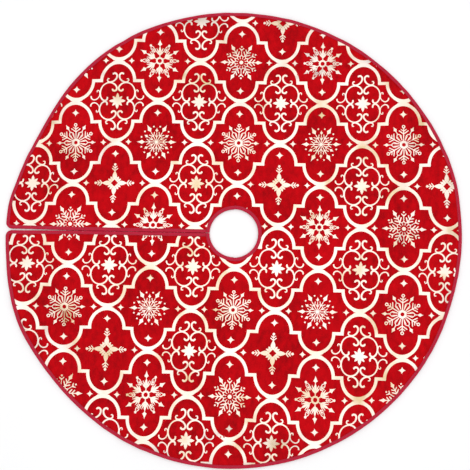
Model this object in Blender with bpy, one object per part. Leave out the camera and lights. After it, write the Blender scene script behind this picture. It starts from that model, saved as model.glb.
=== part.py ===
"""Round tree skirt with a radial slit: printed face cloth, lining, tape binding, three closure tabs.

Metres, +Z up. The origin is the centre of the round, on the surface that the skirt lies on, and the
slit runs along -X. Layers from the surface up: closure tab, hook patch, loop patch, lower leg of the
binding, lining, face cloth, upper leg of the binding, binding stitches. The cloth can fold back along
one radial line beside the slit, so every layer is cut there into a main part and a flap.
"""

import math

import bmesh
import bpy

# ---- driving dimensions ------------------------------------------------------------------------

# plan
HEM_RADIUS = 0.610           # finished edge of the round
NECK_RADIUS = 0.065          # finished edge of the centre hole
SLIT_GAP = 0.004             # between the two bound edges of the slit
HEM_CORNER_RADIUS = 0.016    # where the hem turns into the slit
FLAP_ANGLE = math.radians(40)  # from the slit to the line that the cloth folds along
ARC_STEP = math.radians(3.75)
CORNER_STEP = math.radians(15)

# binding tape, folded over the raw edge
BINDING_WIDTH = 0.0095       # each leg
BINDING_LEG = 0.0011         # a leg is two plies, because its raw edge is turned in
BINDING_FOLD = 0.0011        # the tape at the finished edge
STITCH_INSET = 0.0076        # row of stitches, from the finished edge
STITCH_WIDTH = 0.0008
STITCH_HEIGHT = 0.0004

# cloths
FACE_THICK = 0.0010
LINING_THICK = 0.0006

# closures, sewn under the side of the slit at -Y
TAB_COUNT = 3
TAB_FIRST = 0.050            # from the neck's finished edge to the middle of the first tab
TAB_PITCH = 0.125
TAB_WIDTH = 0.030            # along the slit
TAB_ROOT = 0.012             # from the finished edge back to the row that it is sewn on
TAB_REACH = 0.044            # from the finished edge over to its free end
TAB_THICK = 0.0008
PATCH_WIDTH = 0.025          # along the slit
PATCH_LENGTH = 0.026         # across the slit
PATCH_MARGIN = 0.0025        # from the tab's free end
HOOK_THICK = 0.0004
LOOP_THICK = 0.0004

# care label, under the lining beside the slit
LABEL_INSET = 0.050          # from the hem's finished edge to its middle
LABEL_OFFSET = 0.043         # from the slit's finished edge to its middle
LABEL_LENGTH = 0.050
LABEL_WIDTH = 0.030
LABEL_THICK = 0.0003

# clearances
TOUCH = 0.0003               # between pieces that are sewn or pressed together
HINGE_RISE = 0.0005          # fold line above the highest layer

# ---- heights, from the surface up --------------------------------------------------------------

HOOK_Z = TAB_THICK + TOUCH
CLOSURE_TOP = HOOK_Z + HOOK_THICK + TOUCH + LOOP_THICK
LEG_STACK_TOP = TAB_THICK + TOUCH + BINDING_LEG
LINING_Z = max(CLOSURE_TOP, LEG_STACK_TOP) + TOUCH
LOOP_Z = LINING_Z - TOUCH - LOOP_THICK
LOWER_LEG_TOP = LINING_Z - TOUCH
LOWER_LEG_Z = LOWER_LEG_TOP - BINDING_LEG
LABEL_Z = LINING_Z - TOUCH - LABEL_THICK
FACE_Z = LINING_Z + LINING_THICK + TOUCH
UPPER_LEG_Z = FACE_Z + FACE_THICK + TOUCH
UPPER_LEG_TOP = UPPER_LEG_Z + BINDING_LEG
STITCH_Z = UPPER_LEG_TOP + TOUCH
HINGE_Z = STITCH_Z + STITCH_HEIGHT + HINGE_RISE

HALF_SLIT = SLIT_GAP / 2
CLOTH_INSET = BINDING_FOLD + TOUCH
FOLD_ANGLE = math.pi - FLAP_ANGLE
CUT_HALF = TOUCH / 2
TAB_AXIS_Z = TAB_THICK + TOUCH / 2

# ---- materials ---------------------------------------------------------------------------------

FINISHES = {
    "face_cloth": ((0.58, 0.004, 0.008), 0.85),
    "lining_cloth": ((0.62, 0.02, 0.03), 0.95),
    "binding_tape": ((0.45, 0.008, 0.03), 0.6),
    "thread": ((0.28, 0.004, 0.012), 0.7),
    "hook_tape": ((0.30, 0.01, 0.02), 0.5),
    "loop_tape": ((0.42, 0.01, 0.02), 0.95),
    "label_tape": ((0.85, 0.85, 0.83), 0.5),
}


def finish(name):
    """The Principled material of that name, made the first time it is asked for."""
    if name in bpy.data.materials:
        return bpy.data.materials[name]
    colour, roughness = FINISHES[name]
    material = bpy.data.materials.new(name)
    material.use_nodes = True
    shader = material.node_tree.nodes["Principled BSDF"]
    shader.inputs["Base Color"].default_value = (*colour, 1)
    shader.inputs["Roughness"].default_value = roughness
    shader.inputs["Metallic"].default_value = 0
    return material


# ---- building blocks ---------------------------------------------------------------------------


def make_object(name, bm, material, parent=None, origin=(0, 0, 0)):
    """Turns a bmesh in world coordinates into an object whose origin is at origin."""
    bmesh.ops.recalc_face_normals(bm, faces=bm.faces[:])
    bmesh.ops.translate(bm, verts=bm.verts[:], vec=[-c for c in origin])
    mesh = bpy.data.meshes.new(name)
    bm.to_mesh(mesh)
    bm.free()
    mesh.materials.append(finish(material))
    obj = bpy.data.objects.new(name, mesh)
    bpy.context.scene.collection.objects.link(obj)
    obj.location = origin
    if parent:
        obj.parent = parent
        obj.location = [c - p for c, p in zip(origin, parent.location)]
    return obj


def make_pivot(name, location):
    """An empty that stands for a body, on its hinge axis."""
    pivot = bpy.data.objects.new(name, None)
    bpy.context.scene.collection.objects.link(pivot)
    pivot.location = location
    return pivot


def plate(outline, low, thick):
    """A flat piece: the closed outline, a list of (x, y), raised from low by thick."""
    bm = bmesh.new()
    face = bm.faces.new([bm.verts.new((x, y, low)) for x, y in outline])
    raised = bmesh.ops.extrude_face_region(bm, geom=[face])["geom"]
    top = [v for v in raised if isinstance(v, bmesh.types.BMVert)]
    bmesh.ops.translate(bm, verts=top, vec=(0, 0, thick))
    return bm


def sweep(stations, section):
    """A piece with one section all along: stations is a function from an inset to the path's points
    at that inset, and section a closed list of (inset, z)."""
    bm = bmesh.new()
    lines = [[bm.verts.new((x, y, z)) for x, y in stations(inset)] for inset, z in section]
    count = len(section)
    for i in range(count):
        near = lines[i]
        far = lines[(i + 1) % count]
        for j in range(len(near) - 1):
            bm.faces.new((near[j], near[j + 1], far[j + 1], far[j]))
    for end in (0, -1):
        bm.faces.new([line[end] for line in lines])
    return bm


def arc(radius, start, end, step, centre=(0, 0)):
    """Points of an arc: its two ends, and the whole multiples of step between them."""
    way = 1 if end > start else -1
    first = math.floor(start / step * way) + 1
    last = math.ceil(end / step * way) - 1
    angles = [k * step * way for k in range(first, last + 1)]
    margin = step / 20
    inner = [a for a in angles if abs(a - start) > margin and abs(a - end) > margin]
    return [
        (centre[0] + radius * math.cos(a), centre[1] + radius * math.sin(a))
        for a in [start, *inner, end]
    ]


# ---- plan of the skirt -------------------------------------------------------------------------

CORNER_Y = HALF_SLIT + HEM_CORNER_RADIUS
CORNER_X = -math.sqrt((HEM_RADIUS - HEM_CORNER_RADIUS) ** 2 - CORNER_Y ** 2)
CORNER_ANGLE = math.atan2(CORNER_Y, CORNER_X)
SLIT_END_X = -(NECK_RADIUS + BINDING_WIDTH + TOUCH)


def mirrored(points):
    """The same points on the other side of the slit."""
    return [(x, -y) for x, y in points]


def corner(inset):
    """The rounded corner at the slit on the +Y side, from the hem to the slit."""
    centre = (CORNER_X, CORNER_Y)
    return arc(HEM_CORNER_RADIUS - inset, CORNER_ANGLE, 1.5 * math.pi, CORNER_STEP, centre)


def cut_angle(radius, side):
    """Angle of the fold line's cut at a radius: side is 1 on the flap and -1 on the main part."""
    return FOLD_ANGLE + side * math.asin(CUT_HALF / radius)


def flap_edge(inset):
    """Edge of the flap from the fold line round the hem and the corner to the slit."""
    radius = HEM_RADIUS - inset
    hem = arc(radius, cut_angle(radius, 1), CORNER_ANGLE, ARC_STEP)
    return hem[:-1] + corner(inset)


def main_edge(inset):
    """Edge of the main part from the fold line round the hem, clockwise, to the slit."""
    radius = HEM_RADIUS - inset
    hem = arc(radius, cut_angle(radius, -1), -CORNER_ANGLE, ARC_STEP)
    return hem[:-1] + mirrored(corner(inset))


def flap_edge_to_neck(inset):
    """The flap's edge, carried in along the slit to where the neck binding starts."""
    return flap_edge(inset) + [(SLIT_END_X, HALF_SLIT + inset)]


def main_edge_to_neck(inset):
    """The main part's edge, carried in along the slit to where the neck binding starts."""
    return main_edge(inset) + [(SLIT_END_X, -HALF_SLIT - inset)]


def neck_end(radius, inset):
    """Angle at which a circle of that radius meets a line inset from the slit's bound edge."""
    return math.pi - math.asin((HALF_SLIT + inset) / radius)


def flap_neck(inset):
    """Neck edge of the flap, from the fold line to the slit; inset is outwards from the hole."""
    radius = NECK_RADIUS + inset
    return arc(radius, cut_angle(radius, 1), neck_end(NECK_RADIUS, 0), ARC_STEP * 2)


def main_neck(inset):
    """Neck edge of the main part, from the fold line clockwise to the slit."""
    radius = NECK_RADIUS + inset
    return arc(radius, cut_angle(radius, -1), -neck_end(NECK_RADIUS, 0), ARC_STEP * 2)


def flap_outline(inset):
    """Closed outline of a cloth of the flap, inset from the finished edges."""
    radius = NECK_RADIUS + inset
    neck = arc(radius, neck_end(radius, inset), cut_angle(radius, 1), ARC_STEP * 2)
    return flap_edge(inset) + neck


def main_outline(inset):
    """Closed outline of a cloth of the main part, inset from the finished edges."""
    radius = NECK_RADIUS + inset
    neck = arc(radius, -neck_end(radius, inset), cut_angle(radius, -1), ARC_STEP * 2)
    return main_edge(inset) + neck


# ---- sections ----------------------------------------------------------------------------------

BINDING_SECTION = [
    (0, LOWER_LEG_Z),
    (BINDING_WIDTH, LOWER_LEG_Z),
    (BINDING_WIDTH, LOWER_LEG_TOP),
    (BINDING_FOLD, LOWER_LEG_TOP),
    (BINDING_FOLD, UPPER_LEG_Z),
    (BINDING_WIDTH, UPPER_LEG_Z),
    (BINDING_WIDTH, UPPER_LEG_TOP),
    (0, UPPER_LEG_TOP),
]

STITCH_SECTION = [
    (STITCH_INSET - STITCH_WIDTH / 2, STITCH_Z),
    (STITCH_INSET + STITCH_WIDTH / 2, STITCH_Z),
    (STITCH_INSET + STITCH_WIDTH / 2, STITCH_Z + STITCH_HEIGHT),
    (STITCH_INSET - STITCH_WIDTH / 2, STITCH_Z + STITCH_HEIGHT),
]


# ---- pieces ------------------------------------------------------------------------------------


def make_cloths(flap):
    """Face cloth and lining, main part and flap."""
    for name, low, thick, material in (
        ("face", FACE_Z, FACE_THICK, "face_cloth"),
        ("lining", LINING_Z, LINING_THICK, "lining_cloth"),
    ):
        make_object(name + "_main", plate(main_outline(CLOTH_INSET), low, thick), material)
        make_object(name + "_flap", plate(flap_outline(CLOTH_INSET), low, thick), material, flap)


def make_bindings(flap):
    """Tape over the hem and slit edges and round the neck, with its rows of stitches."""
    for name, section, material in (
        ("binding", BINDING_SECTION, "binding_tape"),
        ("stitching", STITCH_SECTION, "thread"),
    ):
        make_object("edge_" + name + "_main", sweep(main_edge_to_neck, section), material)
        make_object("edge_" + name + "_flap", sweep(flap_edge_to_neck, section), material, flap)
        make_object("neck_" + name + "_main", sweep(main_neck, section), material)
        make_object("neck_" + name + "_flap", sweep(flap_neck, section), material, flap)


def rectangle(x, width, low_y, high_y):
    """Outline of a piece centred on x."""
    left = x - width / 2
    right = x + width / 2
    return [(left, low_y), (right, low_y), (right, high_y), (left, high_y)]


def make_closures(flap):
    """Closure tabs with their hook patches, and the loop patches under the flap."""
    root_y = -HALF_SLIT - TAB_ROOT
    end_y = HALF_SLIT + TAB_REACH
    patch_end = end_y - PATCH_MARGIN
    patch_start = patch_end - PATCH_LENGTH
    for i in range(TAB_COUNT):
        x = -(NECK_RADIUS + TAB_FIRST + i * TAB_PITCH)
        number = str(i + 1)
        axis = (x, root_y, TAB_AXIS_Z)
        pivot = make_pivot("tab_" + number, axis)
        tab = plate(rectangle(x, TAB_WIDTH, root_y, end_y), 0, TAB_THICK)
        make_object("closure_tab_" + number, tab, "binding_tape", pivot, axis)
        patch = rectangle(x, PATCH_WIDTH, patch_start, patch_end)
        hook = plate(patch, HOOK_Z, HOOK_THICK)
        make_object("hook_patch_" + number, hook, "hook_tape", pivot, axis)
        loop = plate(patch, LOOP_Z, LOOP_THICK)
        make_object("loop_patch_" + number, loop, "loop_tape", flap)


def make_label():
    """Care label, sewn flat under the lining."""
    x = LABEL_INSET - HEM_RADIUS
    low_y = -HALF_SLIT - LABEL_OFFSET - LABEL_WIDTH / 2
    outline = rectangle(x, LABEL_LENGTH, low_y, low_y + LABEL_WIDTH)
    make_object("care_label", plate(outline, LABEL_Z, LABEL_THICK), "label_tape")


for old in list(bpy.data.objects):
    bpy.data.objects.remove(old)

flap_pivot = make_pivot("flap", (0, 0, HINGE_Z))
make_cloths(flap_pivot)
make_bindings(flap_pivot)
make_closures(flap_pivot)
make_label()
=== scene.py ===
"""The tree skirt's looks: a round velvet skirt with a foil print, a taped edge, and a slit that three
hook-and-loop tabs hold closed, laid out on a pale studio floor."""

import math

import bmesh
import bpy
import numpy as np
from mathutils import Matrix, Vector


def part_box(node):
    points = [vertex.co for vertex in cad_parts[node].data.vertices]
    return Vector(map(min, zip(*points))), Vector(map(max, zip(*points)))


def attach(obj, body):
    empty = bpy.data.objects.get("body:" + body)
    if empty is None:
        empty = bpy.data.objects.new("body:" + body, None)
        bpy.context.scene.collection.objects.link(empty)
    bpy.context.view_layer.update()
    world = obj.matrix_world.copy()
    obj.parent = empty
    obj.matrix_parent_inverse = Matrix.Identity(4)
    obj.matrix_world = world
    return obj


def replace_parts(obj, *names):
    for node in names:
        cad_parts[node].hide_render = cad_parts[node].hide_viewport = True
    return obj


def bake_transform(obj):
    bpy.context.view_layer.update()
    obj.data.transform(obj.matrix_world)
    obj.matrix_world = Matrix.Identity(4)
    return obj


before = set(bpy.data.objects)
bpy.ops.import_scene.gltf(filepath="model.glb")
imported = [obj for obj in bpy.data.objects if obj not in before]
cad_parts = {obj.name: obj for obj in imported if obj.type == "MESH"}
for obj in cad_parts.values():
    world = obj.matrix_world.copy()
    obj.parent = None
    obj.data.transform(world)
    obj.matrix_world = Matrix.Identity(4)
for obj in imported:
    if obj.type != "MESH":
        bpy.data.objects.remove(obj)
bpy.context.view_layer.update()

# ---- Camera
# It stands over the skirt and leans a few degrees towards the front of it, so the round edge fills
# the picture. The slit runs to the left.

LENS_MM = 50.0
SENSOR_MM = 36.0
LEAN = math.radians(5.32)
ROLL = math.radians(1.06)
STANDOFF = 1.75
AIM = Vector((0.0034, -0.0038, 0.0))

camera_data = bpy.data.cameras.new("camera")
camera_data.lens = LENS_MM
camera_data.sensor_width = SENSOR_MM
camera_data.clip_end = 30.0
camera = bpy.data.objects.new("camera", camera_data)
bpy.context.scene.collection.objects.link(camera)
camera_place = AIM + STANDOFF * Vector((0.0, -math.sin(LEAN), math.cos(LEAN)))
camera.matrix_world = (
    Matrix.Translation(camera_place)
    @ Matrix.Rotation(LEAN, 4, "X")
    @ Matrix.Rotation(ROLL, 4, "Z")
)
bpy.context.scene.camera = camera

# ---- How the skirt lies
# The skirt is soft cloth that was stored folded, shaken out and laid on the floor. Its sheet is
# let down onto the floor by Blender's cloth, and every sewn piece then follows where it came to rest.

HEM_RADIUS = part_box("edge_binding_main")[1].x
NECK_RADIUS = 0.065
SLIT_HALF = 0.002
HEM_CORNER = 0.016
FOLD_ANGLE = math.radians(140.0)
CLOTH_INSET = 0.0014
SHEET_ROWS = 40
SHEET_COLUMNS = 241
SETTLE_FRAMES = 40
CALM_NEAR = 0.055
CALM_FAR = 0.135
EDGE_DRAW = 0.0018
DRAW_FROM, DRAW_OVER = -0.60, 0.20
RELIEF = 0.008
CORNER_Y = SLIT_HALF + HEM_CORNER
CORNER_X = -math.sqrt((HEM_RADIUS - HEM_CORNER) ** 2 - CORNER_Y**2)
SQUARE = np.array([[-1, -1, 0], [1, -1, 0], [1, 1, 0], [-1, 1, 0]], float)


def quads(at):
    """Faces of a grid whose corner numbers are at: one four-sided face for each cell. They face up
    when rows run outwards and columns run anticlockwise."""
    return np.stack([at[:-1, :-1], at[1:, :-1], at[1:, 1:], at[:-1, 1:]], -1).reshape(-1, 4)


def mesh_object(name, points, faces, ends=()):
    """An object at the origin from an array of points, an array of faces and a list of end faces
    with more corners."""
    mesh = bpy.data.meshes.new(name)
    mesh.from_pydata(points.reshape(-1, 3).tolist(), [], [*faces.tolist(), *ends])
    made = bpy.data.objects.new(name, mesh)
    bpy.context.scene.collection.objects.link(made)
    return made


def smooth_step(t):
    """0 below 0, 1 above 1, and between them three t squared less two t cubed."""
    t = np.clip(t, 0.0, 1.0)
    return t * t * (3.0 - 2.0 * t)


def sector(radii, shares, edge):
    """Points at each radius and each share of the way round, from -1 to 1 at the two slit edges:
    the angle is the share times the half turn that is left beside a slit of that half width."""
    reach = math.pi - np.arcsin(edge / radii)[:, None]
    turn = shares * reach
    return np.stack([radii[:, None] * np.cos(turn), radii[:, None] * np.sin(turn)], -1)


def shaken_out(x, y):
    """Height of the sheet just before it comes down: long waves at several bearings, added up, and
    deeper towards the hem."""
    waves = (
        (0.0050, 17.0, 0.35, 0.4), (0.0042, 21.0, 1.72, 2.1), (0.0036, 26.0, 2.65, 4.4),
        (0.0030, 34.0, 0.95, 1.3), (0.0024, 43.0, 2.10, 5.2), (0.0018, 57.0, 1.35, 3.0),
    )
    rise = 0.014 + 0.0 * x
    depth = 0.45 + 0.55 * smooth_step(np.hypot(x, y) / HEM_RADIUS)
    for size, pace, bearing, start in waves:
        rise = rise + size * depth * np.sin(pace * (x * math.cos(bearing) + y * math.sin(bearing)) + start)
    return rise


CLOTH = {
    "quality": 6, "mass": 0.08, "air_damping": 3.0, "tension_stiffness": 30.0,
    "compression_stiffness": 30.0, "shear_stiffness": 12.0, "bending_stiffness": 4.0,
    "tension_damping": 12.0, "compression_damping": 12.0,
}


def let_down(points, faces):
    """Where each point of the sheet comes to rest when it falls onto the floor as cloth."""
    scene = bpy.context.scene
    sheet = mesh_object("sheet_in_the_air", points, faces)
    ground = mesh_object("ground", 1.2 * SQUARE, np.array([[0, 1, 2, 3]]))
    ground.modifiers.new("ground", "COLLISION")
    ground.collision.thickness_outer = 0.001
    ground.collision.cloth_friction = 12.0
    cloth = sheet.modifiers.new("cloth", "CLOTH")
    for setting, value in CLOTH.items():
        setattr(cloth.settings, setting, value)
    cloth.collision_settings.distance_min = 0.001
    cloth.collision_settings.use_self_collision = False
    cloth.point_cache.frame_start = 1
    cloth.point_cache.frame_end = SETTLE_FRAMES
    for number in range(1, SETTLE_FRAMES + 1):
        scene.frame_set(number)
    rested = sheet.evaluated_get(bpy.context.evaluated_depsgraph_get()).to_mesh()
    place = np.zeros(len(rested.vertices) * 3)
    rested.vertices.foreach_get("co", place)
    scene.frame_set(1)
    for spent in (sheet, ground):
        bpy.data.objects.remove(spent)
    return place.reshape(points.shape)


sheet_radii = np.linspace(NECK_RADIUS + CLOTH_INSET, HEM_RADIUS - CLOTH_INSET, SHEET_ROWS)
sheet_flat = sector(sheet_radii, np.linspace(-1.0, 1.0, SHEET_COLUMNS), SLIT_HALF + CLOTH_INSET)
sheet_start = np.dstack([sheet_flat, shaken_out(sheet_flat[..., 0], sheet_flat[..., 1])])
sheet_cells = quads(np.arange(SHEET_ROWS * SHEET_COLUMNS).reshape(SHEET_ROWS, SHEET_COLUMNS))
sheet_rest = let_down(sheet_start, sheet_cells)
sheet_shift = sheet_rest - np.dstack([sheet_flat, np.full(sheet_flat.shape[:2], sheet_rest[..., 2].min())])


def slit_distance(x, y):
    """How far a point is from the slit, which runs from the neck hole out to the left."""
    return np.where(x < -NECK_RADIUS, np.abs(y), np.hypot(x + NECK_RADIUS, y))


def carried(x, y):
    """The rested sheet's shift at any point: the four by four nearest sheet points, weighed as a
    cubic B-spline weighs them along the radius and round the turn."""
    radius = np.hypot(x, y)
    reach = math.pi - np.arcsin(np.minimum(0.9, SLIT_HALF / np.maximum(radius, 1e-6)))
    row = (radius - sheet_radii[0]) / (sheet_radii[-1] - sheet_radii[0]) * (SHEET_ROWS - 1)
    column = (np.arctan2(y, x) / reach + 1.0) / 2.0 * (SHEET_COLUMNS - 1)
    total = 0.0
    weights = []
    for place, count in ((row, SHEET_ROWS), (column, SHEET_COLUMNS)):
        place = np.clip(place, 0.0, count - 1.0)
        first = np.floor(place)
        t = place - first
        spline = ((1 - t) ** 3 / 6, (3 * t**3 - 6 * t**2 + 4) / 6,
                  (-3 * t**3 + 3 * t**2 + 3 * t + 1) / 6, t**3 / 6)
        near = [np.clip(first + step, 0, count - 1).astype(int) for step in (-1, 0, 1, 2)]
        weights.append(list(zip(near, spline)))
    for row_at, row_weight in weights[0]:
        for column_at, column_weight in weights[1]:
            total = total + (row_weight * column_weight)[..., None] * sheet_shift[row_at, column_at]
    return total


# The creases of its storage folds: a point on the line, its bearing, height and width. Each one's
# ridge is rounded over a few millimetres.
CREASE_ROUND = 0.003
CREASES = (
    (-0.240, -0.300, 91.0, 0.0020, 0.020),
    (-0.036, -0.300, 90.0, 0.0022, 0.020),
    (0.150, -0.320, 177.5, 0.0022, 0.020),
    (0.330, 0.000, 89.0, 0.0014, 0.022),
    (0.000, 0.300, 0.5, 0.0016, 0.022),
)
# Where the hem bows out or in: each bow's bearing in degrees and its amount, and how many degrees
# every bow spreads.
HEM_SPREAD = 13.0
HEM_SWAY = (
    (22.0, 0.0037), (50.0, 0.0017), (122.0, 0.0017), (138.0, -0.0030), (154.0, -0.0156),
    (170.0, -0.0029), (203.0, 0.0063), (222.0, -0.0018), (255.0, 0.0015), (300.0, -0.0015),
    (320.0, -0.0034), (343.0, -0.0052),
)


def creased(x, y):
    """Height that the creases add: each is a rounded ridge that dies away from its line, and its
    height drifts slowly along it."""
    rise = 0.0 * x
    for x0, y0, bearing, height, width in CREASES:
        c, s = math.cos(math.radians(bearing)), math.sin(math.radians(bearing))
        off = (x - x0) * -s + (y - y0) * c
        along = (x - x0) * c + (y - y0) * s
        ridge = np.exp(-(np.sqrt(off**2 + CREASE_ROUND**2) - CREASE_ROUND) / width)
        rise = rise + height * ridge * (0.75 + 0.25 * np.sin(14.0 * along + 40.0 * x0))
    return rise


def laid(points):
    """Where points of the flat skirt lie: shifted as the rested sheet is, lifted by the creases and
    swayed in or out near the hem, all of it fading out beside the slit, which its tabs hold flat.
    The slit's edges are drawn together over most of their length."""
    x, y = points[..., 0], points[..., 1]
    free = smooth_step((slit_distance(x, y) - CALM_NEAR) / (CALM_FAR - CALM_NEAR))
    shift = carried(x, y)
    shift[..., 2] = RELIEF * np.tanh((shift[..., 2] + creased(x, y)) / RELIEF)
    bearing = np.degrees(np.arctan2(y, x))
    radius = np.maximum(np.hypot(x, y), 1e-6)
    sway = 0.0 * x
    for middle, amount in HEM_SWAY:
        turn = (bearing - middle + 180.0) % 360.0 - 180.0
        sway = sway + amount * np.exp(-((turn / HEM_SPREAD) ** 2))
    sway = sway * (radius / HEM_RADIUS) ** 3
    shift[..., 0] += sway * x / radius
    shift[..., 1] += sway * y / radius
    shift = free[..., None] * shift
    drawn = EDGE_DRAW * smooth_step((x - DRAW_FROM) / DRAW_OVER) * (1.0 - free) * (x < 0)
    shift[..., 1] -= drawn * np.sign(y)
    return points + shift


def slab(name, upper, lower):
    """A closed slab between two grids of points: its top, its underside and a rim round both, with
    the rim's edges sharp."""
    rows, columns = upper.shape[:2]
    count = rows * columns
    at = np.arange(count).reshape(rows, columns)
    rim = np.concatenate([at[:-1, 0], at[-1, :-1], at[:0:-1, -1], at[0, :0:-1]])
    after = np.roll(rim, -1)
    sides = np.stack([rim, rim + count, after + count, after], -1)
    faces = np.concatenate([quads(at), quads(at)[:, ::-1] + count, sides])
    made = mesh_object(name, np.concatenate([upper.reshape(-1, 3), lower.reshape(-1, 3)]), faces)
    made.data.shade_smooth()
    made.data.set_sharp_from_angle(angle=math.radians(50.0))
    return made


def cut_out(flat, inset):
    """The flat pattern's two rounded hem corners: a point beyond a corner's arc moves onto it,
    straight towards the arc's centre."""
    side = np.where(flat[..., 1] < 0, -1.0, 1.0)
    off = np.stack([flat[..., 0] - CORNER_X, side * flat[..., 1] - CORNER_Y], -1)
    far = np.maximum(np.linalg.norm(off, axis=-1), 1e-9)
    outside = (off < 0).all(axis=-1) & (far > HEM_CORNER - inset)
    scale = np.where(outside, (HEM_CORNER - inset) / far, 1.0)
    moved = [CORNER_X + off[..., 0] * scale, side * (CORNER_Y + off[..., 1] * scale)]
    return np.where(outside[..., None], np.stack(moved, -1), flat)


def cloth_part(name, part, row_step, column_step, node):
    """One cut panel as a closed slab, as thick as its CAD node. part is main, from the slit round to
    the fold line, or flap, from the fold line to the slit's other edge. The shares at the fold line
    are bent so that the line stays straight at its own bearing."""
    low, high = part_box(node)
    radii = np.linspace(NECK_RADIUS + CLOTH_INSET, HEM_RADIUS - CLOTH_INSET,
                        int((HEM_RADIUS - NECK_RADIUS) / row_step))
    slit, fold = (-1.0 if part == "main" else 1.0), FOLD_ANGLE / math.pi
    shares = np.linspace(min(slit, fold), max(slit, fold), int(abs(fold - slit) * 180.0 / column_step))
    line = FOLD_ANGLE / (math.pi - np.arcsin((SLIT_HALF + CLOTH_INSET) / radii)[:, None])
    shares = slit + (shares - slit) / (fold - slit) * (line - slit)
    flat = cut_out(sector(radii, shares, SLIT_HALF + CLOTH_INSET), CLOTH_INSET)
    under = np.full(flat.shape[:2], low.z)
    return slab(name, laid(np.dstack([flat, under + (high.z - low.z)])), laid(np.dstack([flat, under])))


def sewn_on(piece, part, finish, slot_name, *nodes):
    """A piece in its finish. Main pieces ride on the skirt; flap pieces keep where they lie, with their
    place baked into their points."""
    piece.data.materials.append(finish)
    if part == "main":
        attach(piece, "skirt")
    else:
        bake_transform(piece)
    if nodes:
        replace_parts(piece, *nodes)
    return piece


# ---- Lining
# The underside is a thin red woven lining, cut to the same pattern as the face and caught in the
# same edge tape. It is what lies on the floor.

# each part's spacing of rows, and of columns in degrees
LINING_GRID = (("main", 0.0085, 0.95), ("flap", 0.0065, 0.34))


def new_material(name, colour, roughness, source=("ShaderNodeTexCoord", "Object")):
    """A material with its shader set to a colour and a roughness: returns it, the coordinates its
    patterns are laid out on, and the shader."""
    made = bpy.data.materials.new(name)
    made.use_nodes = True
    nodes = made.node_tree.nodes
    shader = nodes["Principled BSDF"]
    shader.inputs["Base Color"].default_value = (*colour, 1.0)
    shader.inputs["Roughness"].default_value = roughness
    return made, nodes.new(source[0]).outputs[source[1]], shader


def add_node(kind, source, socket, **values):
    """A node fed from a socket of the same material, with its other inputs set by name."""
    tree = source.id_data
    node = tree.nodes.new(kind)
    tree.links.new(source, node.inputs[socket])
    for name, value in values.items():
        node.inputs[name].default_value = value
    return node


def add_noise(source, scale, detail, stretch=(1.0, 1.0, 1.0)):
    """Noise on the piece's own coordinates, stretched along an axis by the mapping."""
    place = add_node("ShaderNodeMapping", source, "Vector", Scale=stretch).outputs["Vector"]
    return add_node("ShaderNodeTexNoise", place, "Vector", Scale=scale, Detail=detail).outputs["Fac"]


def add_wave(source, direction, scale, distortion, detail=2.0):
    """Ridges across an axis."""
    wave = add_node("ShaderNodeTexWave", source, "Vector", Scale=scale, Distortion=distortion,
                    Detail=detail)
    wave.bands_direction = direction
    return wave.outputs["Fac"]


def add_ramp(source, *stops):
    """A colour ramp: stops are (position, (red, green, blue))."""
    ramp = add_node("ShaderNodeValToRGB", source, "Fac")
    elements = ramp.color_ramp.elements
    while len(elements) < len(stops):
        elements.new(0.5)
    for element, (position, colour) in zip(elements, stops):
        element.position = position
        element.color = (*colour, 1.0)
    return ramp.outputs["Color"]


def add_grey(source, low, high, start=0.3, end=0.7):
    """A ramp from one grey to another, for a roughness."""
    return add_ramp(source, (start, (low, low, low)), (end, (high, high, high)))


def add_bump(source, distance, strength, onto=None):
    """A bump from a height, laid over another bump's normal if one is given."""
    bump = add_node("ShaderNodeBump", source, "Height", Distance=distance, Strength=strength)
    if onto is not None:
        onto.id_data.links.new(onto, bump.inputs["Normal"])
    return bump.outputs["Normal"]


def add_math(operation, first, second):
    """Two values put together by one operation; the second may be a plain number."""
    step = add_node("ShaderNodeMath", first, 0)
    step.operation = operation
    if isinstance(second, float):
        step.inputs[1].default_value = second
    else:
        second.id_data.links.new(second, step.inputs[1])
    return step.outputs[0]


def add_mix(*weighed):
    """The sum of values, each times its weight."""
    total = None
    for value, weight in weighed:
        part = add_math("MULTIPLY", value, weight)
        total = part if total is None else add_math("ADD", total, part)
    return total


def add_weave(source, threads):
    """A plain weave's height: two sets of thread ridges, at right angles, the higher one showing."""
    return add_math("MAXIMUM", *(add_wave(source, way, threads, 0.35, 1.0) for way in ("X", "Y")))


def dress(shader, colour, roughness, normal):
    """Leads a colour, a roughness and a normal into the shader."""
    links = shader.id_data.links
    links.new(colour, shader.inputs["Base Color"])
    links.new(roughness, shader.inputs["Roughness"])
    links.new(normal, shader.inputs["Normal"])


lining_finish, place, shader = new_material("lining_weave", (0.42, 0.012, 0.02), 0.78)
weave = add_weave(place, 420.0)
patch = add_noise(place, 9.0, 3.0)
dress(
    shader,
    add_ramp(add_mix((weave, 0.45), (patch, 0.55)),
             (0.25, (0.30, 0.008, 0.014)), (0.8, (0.50, 0.018, 0.028))),
    add_grey(patch, 0.7, 0.85),
    add_bump(weave, 0.0002, 0.6),
)
shader.inputs["Sheen Weight"].default_value = 0.15
shader.inputs["Sheen Roughness"].default_value = 0.5

for part, row_step, column_step in LINING_GRID:
    lining = cloth_part(f"lining_cloth_{part}", part, row_step, column_step, "lining_main")
    sewn_on(lining, part, lining_finish, "lining_cloth", f"lining_{part}")

# ---- Velvet face
# The top is a short-pile red velvet, cut in one round with a slit and a neck hole. Its pile lies
# a little differently from place to place, which darkens or lightens it.

FACE_GRID = (("main", 0.0080, 0.90), ("flap", 0.0060, 0.30))

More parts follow.
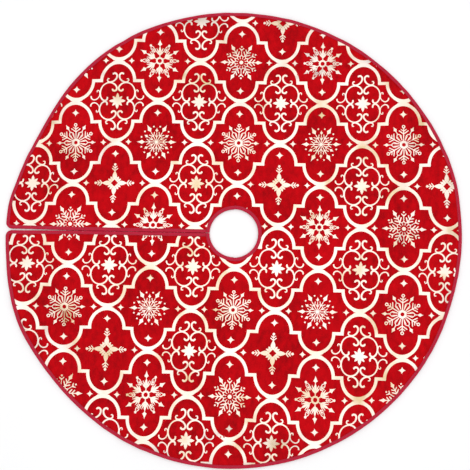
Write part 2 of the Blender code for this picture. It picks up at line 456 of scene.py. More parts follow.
velvet, place, shader = new_material("red_velvet", (0.57, 0.0025, 0.008), 0.82)
pile = add_noise(place, 900.0, 3.0, (1.0, 0.45, 1.0))
strokes = add_noise(place, 85.0, 4.0, (1.0, 0.6, 1.0))
drift = add_noise(place, 5.5, 2.0)
dress(
    shader,
    add_ramp(add_mix((strokes, 0.38), (drift, 0.26), (pile, 0.36)), (0.34, (0.23, 0.0004, 0.0024)),
             (0.50, (0.45, 0.0012, 0.0044)), (0.66, (0.60, 0.0030, 0.0070))),
    add_grey(strokes, 0.74, 0.92),
    add_bump(pile, 0.0003, 0.6, add_bump(strokes, 0.0010, 0.35)),
)
shader.inputs["Specular IOR Level"].default_value = 0.05
shader.inputs["Sheen Weight"].default_value = 0.10
shader.inputs["Sheen Roughness"].default_value = 0.38
shader.inputs["Sheen Tint"].default_value = (1.0, 0.16, 0.20, 1.0)

for part, row_step, column_step in FACE_GRID:
    face = cloth_part(f"velvet_face_{part}", part, row_step, column_step, "face_main")
    sewn_on(face, part, velvet, "face_cloth", f"face_{part}")

# ---- Foil print
# Pale champagne foil is pressed onto the velvet before it is sewn: a lattice of rounded bands with
# a snowflake, a cross or a scroll medallion in each opening, repeated over the whole cloth.

PITCH_X = 0.11125
PITCH_Y = 0.11225
PRINT_X = 0.0010
PRINT_Y = -0.3164
PRINT_SHEAR = 0.0142
UNIT = 0.00262
TILE_X, TILE_Y = PITCH_X / UNIT, PITCH_Y / UNIT
PRESS = 0.76
FOIL_RISE = 0.00012
FOIL_THICK = 0.00008
LAYERS, LAYER_RISE = 9, 0.000012
UNDER_TAPE = 0.0045
SPARE = 0.01
SLIVER = 1e-8
JOIN = 0.000004


def band(path, half):
    """A flat band along a path, in drawing units: its right edge, middle and left edge at each
    station, set out square to the path's mean direction there and lengthened for the mitre at a
    corner. Every half width is narrowed by PRESS, as the foil's edges draw in."""
    path = np.asarray(path, float)
    half = PRESS * np.broadcast_to(half, len(path))
    step = np.diff(path, axis=0)
    step = step / np.linalg.norm(step, axis=1, keepdims=True)
    before, after = np.vstack([step[:1], step]), np.vstack([step, step[-1:]])
    mean = before + after
    mean = mean / np.linalg.norm(mean, axis=1, keepdims=True)
    reach = half / np.maximum(0.5, (mean * after).sum(1))
    side = np.stack([-mean[:, 1], mean[:, 0]], 1) * reach[:, None]
    return path[:, None] + np.array([-1.0, 0.0, 1.0])[None, :, None] * side[:, None]


def rounded_path(points, steps=5):
    """A smooth curve through points: a Catmull-Rom spline, with its ends carried straight on."""
    points = np.asarray(points, float)
    points = np.vstack([2 * points[0] - points[1], points, 2 * points[-1] - points[-2]])
    t = np.arange(steps)[:, None] / steps
    a, b, c, d = points[:-3, None], points[1:-2, None], points[2:-1, None], points[3:, None]
    curve = 0.5 * (2 * b + (c - a) * t + (2 * a - 5 * b + 4 * c - d) * t**2
                   + (3 * b - a - 3 * c + d) * t**3)
    return np.vstack([curve.reshape(-1, 2), points[-2:-1]])


def stroke(path, half, start=None, end=None, step=1.1):
    """A pen stroke along a path with round ends. Its half width runs evenly from start through half
    in the middle to end, and closes over each end as a circle does."""
    path = np.asarray(path, float)
    start, end = start or half, end or half
    run = np.concatenate([[0.0], np.cumsum(np.linalg.norm(np.diff(path, axis=0), axis=1))])
    length = run[-1]
    count = max(2, int(math.ceil((length - start - end) / step)) + 1)
    caps = np.radians([10.0, 28.0, 46.0, 66.0])
    at = np.concatenate([start * (1 - np.cos(caps)), np.linspace(start, length - end, count),
                         length - end * (1 - np.cos(caps[::-1]))])
    share = np.linspace(0.0, 1.0, count)
    body = np.interp(share, [0.0, 0.5, 1.0], [start, half, end])
    width = np.concatenate([start * np.sin(caps), body, end * np.sin(caps[::-1])])
    return band(np.stack([np.interp(at, run, path[:, 0]), np.interp(at, run, path[:, 1])], 1), width)


def dot(x, y, radius):
    """A round dot: stations along x, each as wide as the circle is there."""
    turn = np.radians([-84.0, -60.0, -30.0, 0.0, 30.0, 60.0, 84.0])
    path = np.stack([x + radius * np.sin(turn), np.full(7, float(y))], 1)
    return band(path, radius / PRESS * np.cos(turn))


def hoop(x, y, radius, half, count=20):
    """A ring: a band whose path is a full circle."""
    turn = np.linspace(0.0, 2.0 * math.pi, count + 1)
    path = np.stack([x + radius * np.cos(turn), y + radius * np.sin(turn)], 1)
    return band(path, half / math.cos(math.pi / count))


def spark(x, inner, outer, wide, bow=0.64):
    """A four-pointed star with hollow sides on the x axis: at a share t of the way to a point, its
    half width is wide times (1 - t^bow)^(1/bow)."""
    t = np.array([0.0, 0.02, 0.07, 0.16, 0.30, 0.50, 0.75, 0.985])
    width = wide * (1.0 - t**bow) ** (1.0 / bow)
    along = np.concatenate([-inner * t[:0:-1], outer * t])
    path = np.stack([x + along, np.zeros(len(along))], 1)
    return band(path, np.maximum(0.03, np.concatenate([width[:0:-1], width])))


def petal(near, far, half, fullest):
    """A leaf on the x axis, pointed at both ends: half times the sine of a half turn, bent so that
    it is fullest at that share of its length."""
    t = np.linspace(0.02, 0.98, 9)
    bent = t ** (math.log(0.5) / math.log(fullest))
    path = np.stack([near + (far - near) * t, np.zeros(9)], 1)
    return band(path, half * np.sin(math.pi * bent))


def turned(bands, degrees):
    """Copies of bands turned by each of the angles about the middle."""
    made = []
    for angle in degrees:
        c, s = math.cos(math.radians(angle)), math.sin(math.radians(angle))
        made += [one @ np.array([[c, s], [-s, c]]) for one in bands]
    return made


def mirrored(bands, way=(1.0, -1.0)):
    """Bands with their mirror images across the x axis, or the y axis for a way of -1, 1. Their
    edges change places so that they still face up."""
    return bands + [one[:, ::-1] * np.array(way) for one in bands]


def chevron(apex, tip_x, tip_y, half):
    """Two strokes from one point on the x axis, spreading to both sides."""
    return mirrored([stroke([(apex, 0.0), (tip_x, tip_y)], half)])


SIX, SIX_BETWEEN = range(0, 360, 60), range(30, 390, 60)
FOUR, FOUR_BETWEEN = range(0, 360, 90), range(45, 405, 90)


def lattice_half():
    """From the middle of one step to the middle of the next: a square step, half an ellipse that
    climbs to the crossing and falls from it, a square step. Near the crossing its inner edge is
    filled out to the centre line, so that the two halves meet there in a sharp notch."""
    half_x, half_y = TILE_X / 2, TILE_Y / 2
    across, below, half = 17.1, 1.95, 2.06
    filled_to, open_from, overlap = 4.2, 7.5, 0.04
    turn = np.radians(np.linspace(180.0, 0.0, 33))
    arch = np.stack([across * np.cos(turn), (half_y - below) * np.sin(turn) - half_y], 1)
    step = np.stack([np.linspace(across, half_x, 3)[1:], np.full(2, -half_y)], 1)
    made = band(np.vstack([step[::-1] * np.array([-1.0, 1.0]), arch, step]), half)
    filled = np.interp(np.abs(made[:, 2, 0]), [filled_to, open_from], [1.0, 0.0])
    made[:, 2, 1] += filled * (overlap - made[:, 2, 1])
    return made


def ring_flake():
    """A snowflake with a ringed hub, six arms that end in small rings, and six kites between."""
    ring_arm = [stroke([(4.0, 0), (16.6, 0)], 0.62), hoop(18.3, 0, 1.3, 0.6, 12)]
    ring_arm += chevron(11.2, 14.6, 5.0, 0.62) + chevron(13.8, 15.9, 2.9, 0.5)
    kite_arm = mirrored([stroke(rounded_path([(4.6, 0.9), (7.4, 1.7), (10.0, 2.4), (12.6, 0.2)]), 0.52)])
    kite_arm += [stroke([(12.2, 0), (15.0, 0)], 0.5), spark(17.4, 3.0, 3.6, 2.5, 0.8)]
    between = mirrored([stroke([(4.4, 1.4), (9.6, 3.9)], 0.42)])
    return ([hoop(0, 0, 3.15, 1.5)] + turned(ring_arm, SIX_BETWEEN) + turned(kite_arm, SIX)
            + turned(between, SIX_BETWEEN))


def zigzag_flake():
    """A snowflake round a dot: short rays, a zig-zag ring, six kite arms and six small tridents."""
    turn = np.radians(np.arange(0.0, 361.0, 15.0))
    reach = np.where(np.arange(25) % 2 == 0, 7.9, 6.1)
    ring = band(np.stack([reach * np.cos(turn), reach * np.sin(turn)], 1), 0.55)
    rays = turned([stroke([(3.6, 0), (5.6, 0)], 0.42)], range(15, 375, 30))
    arm = [stroke([(7.4, 0), (15.6, 0)], 0.6), spark(17.2, 3.2, 4.8, 2.7, 0.85)]
    arm += chevron(7.8, 11.4, 3.9, 0.75) + chevron(11.4, 14.2, 3.2, 0.65)
    trident = [stroke([(8.0, 0), (14.6, 0)], 0.45), dot(16.9, 0, 0.9)] + chevron(12.8, 15.5, 2.4, 0.6)
    return [dot(0, 0, 2.0), ring] + rays + turned(arm, SIX) + turned(trident, SIX_BETWEEN)


def leaf_flake():
    """A leafy snowflake: a ring, six fans of five leaves with a spear tip beyond each, and six ball
    arms between. The gaps between neighbouring fans read as six open triangles."""
    fan = [stroke([(3.6, 0), (8.0, 0)], 0.6), petal(6.4, 15.4, 1.5, 0.6)]
    fan += [stroke([(15.0, 0), (17.0, 0)], 0.5), spark(17.6, 2.0, 5.2, 3.1, 0.8)]
    fan += mirrored([
        stroke([(7.0, 0.4), (10.4, 1.8), (13.6, 3.3)], 0.9, 0.35, 0.3),
        stroke([(6.0, 0.2), (8.6, 2.3), (11.2, 4.3)], 0.9, 0.35, 0.3),
    ])
    ball_arm = mirrored([stroke(rounded_path([(12.6, 0.3), (14.5, 1.5), (16.2, 1.4), (17.8, 0.3)]), 0.5)])
    ball_arm += [dot(18.8, 0, 1.25), stroke([(10.8, 0), (15.4, 0)], 0.4)] + chevron(10.4, 13.4, 2.6, 0.5)
    return [hoop(0, 0, 3.1, 1.1, 12)] + turned(fan, SIX_BETWEEN) + turned(ball_arm, SIX)


def cross_flower():
    """A cross of four long petals round an open diamond, a pair of short leaves in each corner and
    a sprig beyond each petal."""
    arm = [petal(3.4, 13.2, 3.1, 0.38), dot(19.3, 0, 1.3), stroke([(12.6, 0), (18.6, 0)], 0.42)]
    arm += chevron(12.8, 15.4, 3.1, 0.65) + chevron(15.2, 17.6, 2.3, 0.6)
    leaves = mirrored([stroke([(3.6, 0.7), (5.4, 1.2), (7.6, 1.6)], 1.7, 1.2, 0.8)])
    diamond = [stroke([(4.7, 0.0), (0.0, 4.7)], 0.9)]
    return turned(arm + diamond, FOUR) + turned(leaves, FOUR_BETWEEN)


def scroll_medallion():
    """An eight-pointed star in four C-scrolls whose ends curl in beside each axis, with smaller
    scrolls standing on top and below, and lighter ones at both sides."""
    lobe = stroke(rounded_path([
        (5.5, 12.9), (5.0, 11.3), (3.3, 10.7), (1.6, 11.5), (0.9, 13.4), (1.7, 15.6), (3.9, 17.9),
        (7.4, 19.3), (11.2, 18.9), (15.1, 16.3), (17.5, 11.9), (17.9, 7.3), (16.7, 3.4), (14.4, 0.9),
        (12.2, 0.6), (10.6, 1.9), (10.4, 4.5),
    ]), 0.80, 1.2, 1.1)
    crown = stroke(rounded_path([
        (8.8, 23.3), (10.2, 23.7), (11.0, 22.3), (10.3, 20.6), (7.6, 19.9), (4.6, 21.0), (2.3, 23.2),
        (1.3, 25.8), (1.5, 28.0), (3.0, 29.5), (4.7, 29.5), (5.7, 28.2),
    ]), 1.05, 0.7, 1.2)
    wing = stroke(rounded_path([
        (21.0, 9.2), (21.2, 10.7), (20.0, 11.5), (18.8, 10.3), (18.3, 7.6), (18.9, 4.9), (20.9, 2.5),
        (23.6, 1.5), (25.9, 2.3), (27.0, 4.0), (26.9, 5.6),
    ]), 0.62, 0.6, 0.9)
    scrolls = mirrored(mirrored([lobe, crown, wing]), (-1.0, 1.0))
    long_petals = turned([petal(-0.4, 8.6, 2.2, 0.52)], FOUR)
    return scrolls + long_petals + turned([petal(-0.4, 7.2, 1.9, 0.5)], FOUR_BETWEEN)


def point_flake():
    """A snowflake of twelve stars: six large on the arms, six small between, with pairs of dots."""
    arm = [stroke([(1.5, 0), (11.5, 0)], 0.5), spark(14.9, 3.4, 5.6, 3.0, 0.8)]
    arm += chevron(6.4, 10.2, 3.2, 0.5)
    short = [stroke([(2.0, 0), (9.6, 0)], 0.45), spark(12.0, 2.4, 2.8, 2.2, 0.75)]
    short += chevron(4.6, 7.6, 1.9, 0.45) + mirrored([dot(16.0, 3.3, 0.85)])
    return [dot(0, 0, 1.7)] + turned(arm, SIX) + turned(short, SIX_BETWEEN)


def small_sparks():
    """The four small stars that fill an opening's corners."""
    above, beside = np.array([0.0, TILE_Y - 12.2]), np.array([TILE_X - 13.4, 0.0])
    upright = spark(0.0, 3.9, 3.9, 3.9 / PRESS)
    flatter = 0.86 * upright
    return [upright + above, upright - above, flatter + beside, flatter - beside]


def placed(bands, columns, rows):
    """Copies of bands at tiles, as points on the flat cloth: the tile's place in the lattice, which
    leans a little, plus the drawing at its size."""
    centre = np.stack([PITCH_X * columns, -PITCH_Y * rows], 1)
    made = []
    for one in bands:
        spots = centre[:, None, None, :] + UNIT * one[None]
        spots[..., 0] += PRINT_SHEAR * spots[..., 1]
        made.append(spots + np.array([PRINT_X, PRINT_Y]))
    return made


# Small tugs of the cloth while it was printed and laid: each one's place and shift, and how far
# every tug reaches.
TUG_REACH = 0.095
TUGS = (
    (0.56, 0.21, 0.0008, 0.0034), (0.56, 0.03, 0.0081, -0.0015), (0.46, 0.36, -0.0025, 0.0062),
    (0.45, -0.10, 0.0063, -0.0005), (0.54, -0.22, 0.0050, -0.0045), (0.42, -0.33, 0.0023, -0.0065),
    (0.30, -0.44, -0.0002, -0.0050), (0.22, -0.54, 0.0006, -0.0040), (0.12, -0.34, -0.0032, 0.0017),
    (0.12, -0.48, -0.0013, -0.0034), (0.00, -0.32, -0.0041, 0.0030), (-0.16, -0.36, 0.0006, 0.0054),
    (-0.28, -0.43, 0.0028, -0.0007), (-0.34, -0.28, 0.0034, 0.0049), (-0.46, -0.33, 0.0034, 0.0019),
    (-0.55, -0.16, 0.0051, 0.0025), (-0.55, 0.04, 0.0049, -0.0039), (-0.56, 0.24, -0.0017, -0.0032),
    (-0.44, 0.34, -0.0042, -0.0014), (-0.50, 0.12, -0.0033, -0.0014), (0.50, 0.14, -0.0003, 0.0016),
    (0.36, -0.38, 0.0010, 0.0028), (-0.50, 0.36, -0.0030, 0.0040),
)


def tugged(spots):
    """Points moved by every tug, each fading as a bell curve from its place."""
    moved = spots.copy()
    for x, y, shift_x, shift_y in TUGS:
        pull = np.exp(-((spots[..., 0] - x) ** 2 + (spots[..., 1] - y) ** 2) / TUG_REACH**2)
        moved[..., 0] += shift_x * pull
        moved[..., 1] += shift_y * pull
    return moved


# which drawing goes where: tiles at even places are the lattice's crossings, the rest its openings
tile_i, tile_j = (grid.ravel() for grid in np.meshgrid(np.arange(-8, 9), np.arange(-10, 5)))
crossing = (tile_i + tile_j) % 2 == 0
opening = ~crossing
low, high = opening & (tile_j % 4 == 1), opening & (tile_j % 4 == 3)
level = opening & (tile_j % 4 == 0)
medallions = (opening & (tile_j % 4 == 2)) | (level & (tile_i % 4 == 3))
printed = placed(mirrored([lattice_half()]), tile_i[crossing], tile_j[crossing])
for drawing, chosen in (
    (zigzag_flake(), low & (tile_i % 4 == 0)), (leaf_flake(), low & (tile_i % 4 == 2)),
    (ring_flake(), high & (tile_i % 4 == 0)), (point_flake(), high & (tile_i % 4 == 2)),
    (cross_flower(), level & (tile_i % 4 == 1)), (scroll_medallion(), medallions),
    (small_sparks(), opening & ~medallions),
):
    printed += placed(drawing, tile_i[chosen], tile_j[chosen])


def kept_on_cloth(spots):
    """Points beyond the cloth's edge are moved under the edge tape, so the foil is cut off there:
    in to the hem, out from the neck and away from the slit, each on its own side."""
    middle = spots.mean(axis=(1, 2), keepdims=True)
    side = np.where(middle[..., 1] < 0, -1.0, 1.0)
    off_slit = side * np.maximum(side * spots[..., 1], SLIT_HALF + UNDER_TAPE)
    y = np.where(spots[..., 0] < 0, off_slit, spots[..., 1])
    radius = np.maximum(np.hypot(spots[..., 0], y), 1e-6)
    held = np.clip(radius, NECK_RADIUS + UNDER_TAPE, HEM_RADIUS - UNDER_TAPE)
    return np.stack([spots[..., 0] * held / radius, y * held / radius], -1)


def foil_cells():
    """All bands cut into single cells of four corners and two middles, with those off the cloth
    left out: an array of cells, 2 stations, 3 across, and each cell's order of pressing."""
    cells, order = [], []
    for number, one in enumerate(printed):
        spots = tugged(one)
        cell = np.stack([spots[:, :-1], spots[:, 1:]], 2)
        cells.append(cell.reshape(-1, 2, 3, 2))
        order.append(np.full(len(cells[-1]), number))
    cells, order = np.concatenate(cells), np.concatenate(order)
    middle = cells.mean(axis=(1, 2))
    off = np.hypot(middle[:, 0], middle[:, 1])
    near = (off > NECK_RADIUS - SPARE) & (off < HEM_RADIUS + SPARE)
    return cells[near], order[near]


cells, order = foil_cells()
cells = cut_out(kept_on_cloth(cells), UNDER_TAPE)
first = cells[:, 1, 2] - cells[:, 0, 0]
second = cells[:, 0, 2] - cells[:, 1, 0]
area = 0.5 * np.abs(first[:, 0] * second[:, 1] - first[:, 1] * second[:, 0])
good = area > SLIVER
cells, order = cells[good], order[good]


def foil_part(name, cells, order):
    """Foil cells as one mesh of thin closed plates that join along each band, pressed on the
    velvet: each drawing's strokes lie a hair above the one before, as overlapping foil does."""
    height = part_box("face_main")[1].z + FOIL_RISE + LAYER_RISE * (order % LAYERS)
    level = np.broadcast_to(height[:, None, None, None], (*cells.shape[:3], 1))
    flat = np.concatenate([cells, level], -1)
    upper = laid(flat + np.array([0.0, 0.0, FOIL_THICK]))
    number = np.arange(len(cells))[:, None] * 6
    top = np.concatenate([number + np.array([[0, 3, 4, 1]]), number + np.array([[1, 4, 5, 2]])])
    made = mesh_object(name, upper, top)
    # the corners that neighbouring cells share become one, and each band gets its thickness
    made.data.shade_smooth()
    shape = bmesh.new()
    shape.from_mesh(made.data)
    bmesh.ops.remove_doubles(shape, verts=shape.verts, dist=JOIN)
    bmesh.ops.dissolve_degenerate(shape, edges=shape.edges, dist=JOIN)
    shape.to_mesh(made.data)
    shape.free()
    thick = made.modifiers.new("foil thickness", "SOLIDIFY")
    thick.thickness = FOIL_THICK
    thick.offset = -1.0
    solid = made.evaluated_get(bpy.context.evaluated_depsgraph_get())
    made.data = bpy.data.meshes.new_from_object(solid)
    made.modifiers.clear()
    made.data.set_sharp_from_angle(angle=math.radians(50.0))
    return made


foil, place, shader = new_material("champagne_foil", (0.74, 0.66, 0.51), 0.33)
# The pale upper stops are the foil's own champagne colour. The darker golden patches that noise lays over
# it are painted reflection: they stand in for the darker room that the foil's gentle undulations reflect.
painted_reflection_patches = add_noise(place, 11.0, 3.0)
grain = add_noise(place, 650.0, 2.0)
crinkle = add_noise(place, 120.0, 3.0)
dress(
    shader,
    add_ramp(painted_reflection_patches, (0.30, (0.58, 0.44, 0.25)), (0.44, (0.76, 0.64, 0.53)), (0.66, (0.80, 0.71, 0.65))),
    add_grey(grain, 0.30, 0.44),
    add_bump(grain, 0.0001, 0.35, add_bump(crinkle, 0.0006, 0.25)),
)
shader.inputs["Metallic"].default_value = 0.85
shader.inputs["Specular IOR Level"].default_value = 0.6

bearing = np.arctan2(cells[..., 1], cells[..., 0])
on_flap = (bearing > FOLD_ANGLE).any(axis=(1, 2)) & (cells[..., 0].max(axis=(1, 2)) < 0)
for part, chosen in (("main", ~on_flap), ("flap", on_flap)):
    print_piece = foil_part(f"foil_print_{part}", cells[chosen], order[chosen])
    sewn_on(print_piece, part, foil, "foil_print")

# ---- Edge tape and its stitching
# A crimson woven tape is folded over the raw edge of both cloths, round the hem, round the two hem
# corners and up both sides of the slit, and held by one row of stitches through all layers.

TAPE_WIDTH = 0.0095
TAPE_THICK = 0.0011
STITCH_INSET = 0.0076
STITCH_LENGTH = 0.0027
STITCH_PITCH = 0.0034
STITCH_RADIUS = 0.00040
STITCH_SINK = 0.00025
NECK_TAPE_END = -0.0748
FOLD_DEPTH = 0.0023

tape_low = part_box("edge_binding_main")[0].z
tape_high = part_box("edge_binding_main")[1].z


def edge_path(part, step):
    """Points along the skirt's edge with the direction that points into the cloth at each: the hem's
    arc, the corner's arc and the slit's straight edge, joined end to end."""
    side = 1.0 if part == "flap" else -1.0
    corner = math.atan2(CORNER_Y, CORNER_X)
    hem = np.linspace(FOLD_ANGLE, side * corner,
                      int(abs(side * corner - FOLD_ANGLE) * HEM_RADIUS / step))
    hem = np.stack([np.cos(hem), np.sin(hem)], 1)
    bend = side * np.linspace(corner, 1.5 * math.pi, 12)[1:]
    bend = np.stack([np.cos(bend), np.sin(bend)], 1)
    slit_x = np.linspace(CORNER_X, NECK_TAPE_END, int((NECK_TAPE_END - CORNER_X) / step))[1:]
    inward = np.concatenate([-hem, -bend, np.tile([0.0, side], (len(slit_x), 1))])
    spots = np.concatenate([
        HEM_RADIUS * hem, np.array([CORNER_X, side * CORNER_Y]) + HEM_CORNER * bend,
        np.stack([slit_x, np.full(len(slit_x), side * SLIT_HALF)], 1),
    ])
    return spots, inward


def tape_profile():
    """The tape's section as a closed loop of (inset from the edge, height): the upper leg with a
    groove under the stitches, half an ellipse round the edge, the lower leg, and back inside."""
    middle, half = (tape_low + tape_high) / 2.0, (tape_high - tape_low) / 2.0
    hollow = half - TAPE_THICK + 0.00005
    upper = [(TAPE_WIDTH, 0.92), (TAPE_WIDTH - 0.0004, 0.985), (TAPE_WIDTH - 0.0011, 0.985),
             (STITCH_INSET, 0.86), (STITCH_INSET - 0.0008, 0.985), (0.0042, 1.0), (0.0031, 1.0)]
    outer = np.array([(s, middle + half * z) for s, z in upper])
    turn = np.radians(np.linspace(90.0, 270.0, 11))
    fold = np.stack([FOLD_DEPTH + FOLD_DEPTH * np.cos(turn), middle + half * np.sin(turn)], 1)
    under = [(0.0040, tape_low), (TAPE_WIDTH - 0.0004, tape_low), (TAPE_WIDTH, tape_low + 0.0004)]
    turn = turn[::-1][::2]
    inner_fold = np.stack([0.0025 + 0.0012 * np.cos(turn), middle + hollow * np.sin(turn)], 1)
    return np.concatenate([outer, fold, under, [(TAPE_WIDTH, middle - hollow)], inner_fold,
                           [(TAPE_WIDTH, middle + hollow)]])


def facing_out(made):
    """Recalculates a closed piece's normals so that every face points outwards."""
    shape = bmesh.new()
    shape.from_mesh(made.data)
    bmesh.ops.recalc_face_normals(shape, faces=shape.faces)
    shape.to_mesh(made.data)
    shape.free()
    return made


def run_along(line):
    """How far along a line each of its points is."""
    return np.concatenate([[0.0], np.cumsum(np.linalg.norm(np.diff(line, axis=0), axis=1))])


def swept(name, spots, inward):
    """The tape carried along an edge: each point is the edge's point, moved in by the profile's
    inset and up by its height. Its width wavers by a few hundredths in three slow waves, its upper
    side puckers between stitches, and it is closed at both ends."""
    profile, run = tape_profile(), run_along(spots)
    waver = (0.012 * np.sin(run * 31.0) + 0.010 * np.sin(run * 57.0 + 1.0)
             + 0.008 * np.sin(run * 113.0 + 2.0))
    inset = profile[:, 0] * (1.0 + waver[:, None] * (profile[:, 0] > 0.004))
    flat = spots[:, None] + inset[..., None] * inward[:, None]
    pucker = 0.02 * np.sin(2.0 * math.pi * run / STITCH_PITCH)[:, None]
    height = profile[:, 1] * (1.0 + pucker * (profile[:, 1] > tape_high * 0.8))
    points = laid(np.dstack([flat, height]))
    rows, columns = points.shape[:2]
    at = np.arange(rows * columns).reshape(rows, columns)
    made = mesh_object(name, points, quads(np.column_stack([at, at[:, :1]])),
                       [at[0].tolist(), at[-1, ::-1].tolist()])
    mesh = made.data
    corner = np.zeros(len(mesh.loops), int)
    mesh.loops.foreach_get("vertex_index", corner)
    unrolled = np.stack([np.repeat(run, columns), np.tile(run_along(profile), rows)], 1)
    layer = mesh.uv_layers.new(name="UVMap")
    layer.data.foreach_set("uv", unrolled[corner].astype(np.float32).ravel())
    mesh.shade_smooth()
    mesh.set_sharp_from_angle(angle=math.radians(60.0))
    return facing_out(made)


def stitch_row(name, spots, across, height):
    """A row of short stitches. Each is a thread of six sides and five stations: it rises out of the
    cloth, runs level and goes down again. spots are middles, across the unit sideways direction."""
    along = np.stack([across[:, 1], -across[:, 0]], 1)
    station = np.array([-1.0, -0.8, 0.0, 0.8, 1.0])
    radius = STITCH_RADIUS * np.array([0.45, 0.95, 1.0, 0.95, 0.45])
    lift = STITCH_RADIUS * np.array([-1.0, 0.1, 0.35, 0.1, -1.0])
    turn = np.radians(np.arange(0.0, 360.0, 60.0))
    offset = station * STITCH_LENGTH / 2.0
    flat = (spots[:, None, None, :] + offset[None, :, None, None] * along[:, None, None, :]
            + (radius[:, None] * np.cos(turn))[None, ..., None] * across[:, None, None, :])
    up = np.broadcast_to(height + lift[:, None] + radius[:, None] * np.sin(turn), flat.shape[:3])
    points = laid(np.concatenate([flat, up[..., None]], -1))
    at = np.arange(30).reshape(5, 6)
    starts = 30 * np.arange(len(spots))[:, None]
    walls = quads(np.column_stack([at, at[:, :1]])) + starts[..., None]
    ends = np.concatenate([at[0] + starts, at[-1, ::-1] + starts])
    made = mesh_object(name, points, walls.reshape(-1, 4), ends.tolist())
    made.data.shade_smooth()
    return facing_out(made)


def spaced(spots, inward):
    """Where the stitches go along an edge, with the direction into the cloth at each."""
    line = spots + STITCH_INSET * inward
    run = run_along(line)
    count = max(2, int(run[-1] / STITCH_PITCH))
    at = (np.arange(count) + 0.5) * run[-1] / count
    middles, ways = (np.stack([np.interp(at, run, one[:, k]) for k in (0, 1)], 1)
                     for one in (line, inward))
    return middles, ways / np.linalg.norm(ways, axis=1, keepdims=True)


tape, place, shader = new_material("crimson_tape", (0.42, 0.008, 0.04), 0.55,
                                   ("ShaderNodeUVMap", "UV"))
ribs = add_wave(place, "X", 330.0, 0.5)
mottle = add_noise(place, 60.0, 3.0, (1.0, 3.0, 1.0))
dress(
    shader,
    add_ramp(add_mix((ribs, 0.35), (mottle, 0.65)), (0.25, (0.33, 0.003, 0.020)),
             (0.55, (0.49, 0.007, 0.034)), (0.85, (0.57, 0.014, 0.060))),
    add_grey(mottle, 0.46, 0.64),
    add_bump(ribs, 0.0002, 0.7),
)
shader.inputs["Specular IOR Level"].default_value = 0.20
shader.inputs["Sheen Weight"].default_value = 0.10
shader.inputs["Sheen Roughness"].default_value = 0.4
shader.inputs["Sheen Tint"].default_value = (1.0, 0.3, 0.42, 1.0)

thread, place, shader = new_material("crimson_thread", (0.26, 0.004, 0.02), 0.5)
ply = add_noise(place, 1500.0, 2.0)
dress(
    shader,
    add_ramp(ply, (0.3, (0.20, 0.003, 0.014)), (0.7, (0.34, 0.006, 0.028))),
    add_grey(ply, 0.4, 0.6),
    add_bump(ply, 0.0001, 0.5),
)
shader.inputs["Sheen Weight"].default_value = 0.2

sewn_pieces = {"main": [], "flap": []}


def bound(edge, part, spots, inward):
    """Tape along one part of an edge, and the row of stitches that holds it."""
    taped = swept(f"{edge}_tape_{part}", spots, inward)
    sewn_on(taped, part, tape, "binding_tape", f"{edge}_binding_{part}")
    stitches = stitch_row(f"{edge}_stitches_{part}", *spaced(spots, inward), tape_high - STITCH_SINK)
    sewn_on(stitches, part, thread, "thread", f"{edge}_stitching_{part}")
    sewn_pieces[part] += [taped, stitches]


for part in ("main", "flap"):
    bound("edge", part, *edge_path(part, 0.0042))

# ---- Neck tape and its stitching
# The neck hole, which goes round the tree's trunk, is bound with the same crimson tape and thread.

NECK_END = math.pi - math.asin(0.0024 / NECK_RADIUS)
NECK_STEP = 0.0015

for part, start, end in (("main", -NECK_END, FOLD_ANGLE), ("flap", FOLD_ANGLE, NECK_END)):
    turn = np.linspace(start, end, int((end - start) * NECK_RADIUS / NECK_STEP))
    outward = np.stack([np.cos(turn), np.sin(turn)], 1)
    bound("neck", part, NECK_RADIUS * outward, outward)

# ---- Closure tabs
# Three webbing tabs are sewn under the slit's front edge and reach across below the back edge.
# Each carries a square of hook tape, which presses up into a square of loop tape under the flap.

TAB_GRID = 25
TAB_SHAPE, PATCH_SHAPE = (9.0, 0.00015), (14.0, 0.00008)
SEAM_INSET, SEAM_SINK = 0.0018, 0.0002


def soft_square(low, high, corner, crown):
    """The upper and lower faces of a flat pad with rounded corners that fills a box. A point of the
    square grid is drawn in to a superellipse of the power corner: it moves by the larger of |u| and
    |v| over (|u|^corner + |v|^corner)^(1/corner). Both faces sink by crown towards the rim."""
    centre, size = (low + high) / 2, high - low
    u, v = np.meshgrid(*[np.linspace(-1, 1, TAB_GRID)] * 2, indexing="ij")
    far = np.maximum(np.maximum(np.abs(u), np.abs(v)), 1e-9)
    round_far = np.maximum((np.abs(u) ** corner + np.abs(v) ** corner) ** (1.0 / corner), 1e-9)
    x = centre[0] + size[0] / 2 * u * far / round_far
    y = centre[1] + size[1] / 2 * v * far / round_far
    sink = crown * far**6
    return np.dstack([x, y, high.z - sink]), np.dstack([x, y, low.z + sink])


def pad_on(body, node, name, finish, shape):
    """A soft square, of a shape's corner and crown, that fills a CAD node's box and rides on its
    body."""
    pad = slab(name, *soft_square(*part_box(node), *shape))
    pad.data.materials.append(finish)
    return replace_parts(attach(pad, body), node)


webbing, place, shader = new_material("red_webbing", (0.40, 0.008, 0.02), 0.7)
weave = add_weave(place, 230.0)
mottle = add_noise(place, 90.0, 3.0)
dress(
    shader,
    add_ramp(add_math("MULTIPLY", weave, mottle), (0.1, (0.26, 0.004, 0.012)), (0.6, (0.48, 0.012, 0.028))),
    add_grey(mottle, 0.6, 0.8),
    add_bump(weave, 0.0003, 0.7),
)
shader.inputs["Sheen Weight"].default_value = 0.2

hooks, place, shader = new_material("hook_tape", (0.30, 0.006, 0.016), 0.42)
hooked = add_node("ShaderNodeTexVoronoi", place, "Vector", Scale=900.0, Randomness=0.25)
apart = hooked.outputs["Distance"]
dress(
    shader,
    add_ramp(apart, (0.1, (0.40, 0.010, 0.024)), (0.6, (0.20, 0.003, 0.010))),
    add_grey(apart, 0.3, 0.6, 0.1, 0.6),
    add_bump(add_math("SUBTRACT", apart, 1.0), 0.0004, -0.9),
)

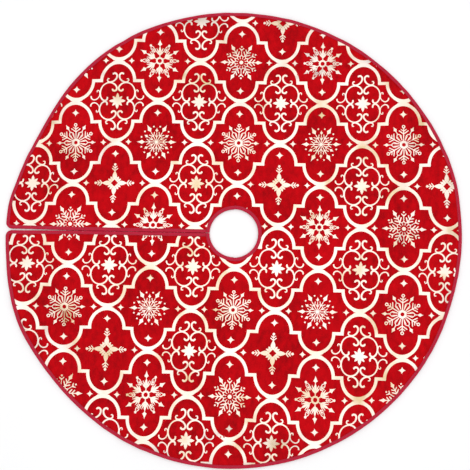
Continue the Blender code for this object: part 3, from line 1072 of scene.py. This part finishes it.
loops, place, shader = new_material("loop_tape", (0.40, 0.008, 0.02), 0.88)
fuzz = add_noise(place, 1100.0, 4.0)
dress(
    shader,
    add_ramp(fuzz, (0.35, (0.26, 0.004, 0.012)), (0.65, (0.50, 0.014, 0.032))),
    add_grey(fuzz, 0.8, 0.95),
    add_bump(fuzz, 0.0005, 0.9),
)
shader.inputs["Sheen Weight"].default_value = 0.5


def square_of_stitches(name, body, node, inset, level):
    """A row of stitches round a CAD node's square, set in from its sides, at a level."""
    least, most = (np.array(corner)[:2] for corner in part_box(node))
    round_it = np.array([[0, 0], [1, 0], [1, 1], [0, 1], [0, 0]])
    corners = np.where(round_it, most - inset, least + inset)
    middles, ways = [], []
    for begin, finish, way in zip(corners[:-1], corners[1:], ((0, 1.0), (-1.0, 0), (0, -1.0), (1.0, 0))):
        count = int(np.linalg.norm(finish - begin) / STITCH_PITCH)
        share = ((np.arange(count) + 0.5) / count)[:, None]
        middles.append(begin + share * (finish - begin))
        ways.append(np.tile(way, (count, 1)))
    made = stitch_row(name, np.concatenate(middles), np.concatenate(ways), level)
    made.data.materials.append(thread)
    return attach(made, body)


for number in (1, 2, 3):
    body, hook_node, loop_node = f"tab_{number}", f"hook_patch_{number}", f"loop_patch_{number}"
    tab = pad_on(body, f"closure_tab_{number}", f"webbing_tab_{number}", webbing,
                 TAB_SHAPE)
    hook = pad_on(body, hook_node, f"hook_square_{number}", hooks, PATCH_SHAPE)
    hook_seam = square_of_stitches(f"hook_seam_{number}", body, hook_node, SEAM_INSET,
                                   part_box(hook_node)[1].z - SEAM_SINK)
    loop = pad_on("flap", loop_node, f"loop_square_{number}", loops, PATCH_SHAPE)
    loop_seam = square_of_stitches(f"loop_seam_{number}", "flap", loop_node, SEAM_INSET,
                                   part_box(loop_node)[0].z + SEAM_SINK)
    sewn_pieces["flap"] += [loop, loop_seam]

# ---- Care label
# A small blank white woven label is sewn to the lining near the hem, beside the slit.

LABEL_SHAPE = (22.0, 0.00003)

label_finish, place, shader = new_material("white_label", (0.84, 0.83, 0.80), 0.5)
weave = add_weave(place, 520.0)
mottle = add_noise(place, 150.0, 3.0)
dress(
    shader,
    add_ramp(add_math("MULTIPLY", weave, mottle), (0.1, (0.74, 0.73, 0.69)), (0.6, (0.88, 0.87, 0.84))),
    add_grey(mottle, 0.42, 0.58),
    add_bump(weave, 0.0002, 0.6),
)

label_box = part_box("care_label")
label = slab("care_label_cloth", *(laid(face) for face in soft_square(*label_box, *LABEL_SHAPE)))
label.data.materials.append(label_finish)
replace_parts(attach(label, "skirt"), "care_label")
label_seam = square_of_stitches("label_seam", "skirt", "care_label", 0.0020,
                                label_box[0].z + SEAM_SINK)

# ---- Floor and light
# A plain pale floor, one large soft light overhead and an even pale room round it.

FLOOR_HALF = 40.0
FLOOR_DROP = 0.0004

floor_points = FLOOR_HALF * SQUARE - np.array([0.0, 0.0, FLOOR_DROP])
floor = mesh_object("floor", floor_points, np.array([[0, 1, 2, 3]]))
floor_finish, place, shader = new_material("pale_floor", (0.90, 0.90, 0.90), 0.7)
tone = add_grey(add_noise(place, 3.0, 2.0), 0.90, 0.915)
tone.id_data.links.new(tone, shader.inputs["Base Color"])
floor.data.materials.append(floor_finish)

softbox_data = bpy.data.lights.new("softbox", "AREA")
softbox_data.shape = "RECTANGLE"
softbox_data.size = softbox_data.size_y = 3.4
softbox_data.energy = 40.0
softbox = bpy.data.objects.new("softbox", softbox_data)
softbox.location = (0.05, 0.15, 2.6)
bpy.context.scene.collection.objects.link(softbox)
world = bpy.data.worlds.new("studio")
world.use_nodes = True
background = world.node_tree.nodes["Background"]
background.inputs["Color"].default_value = (0.97, 0.97, 0.98, 1.0)
background.inputs["Strength"].default_value = 0.78
bpy.context.scene.world = world
bpy.context.scene.view_settings.view_transform = "Standard"
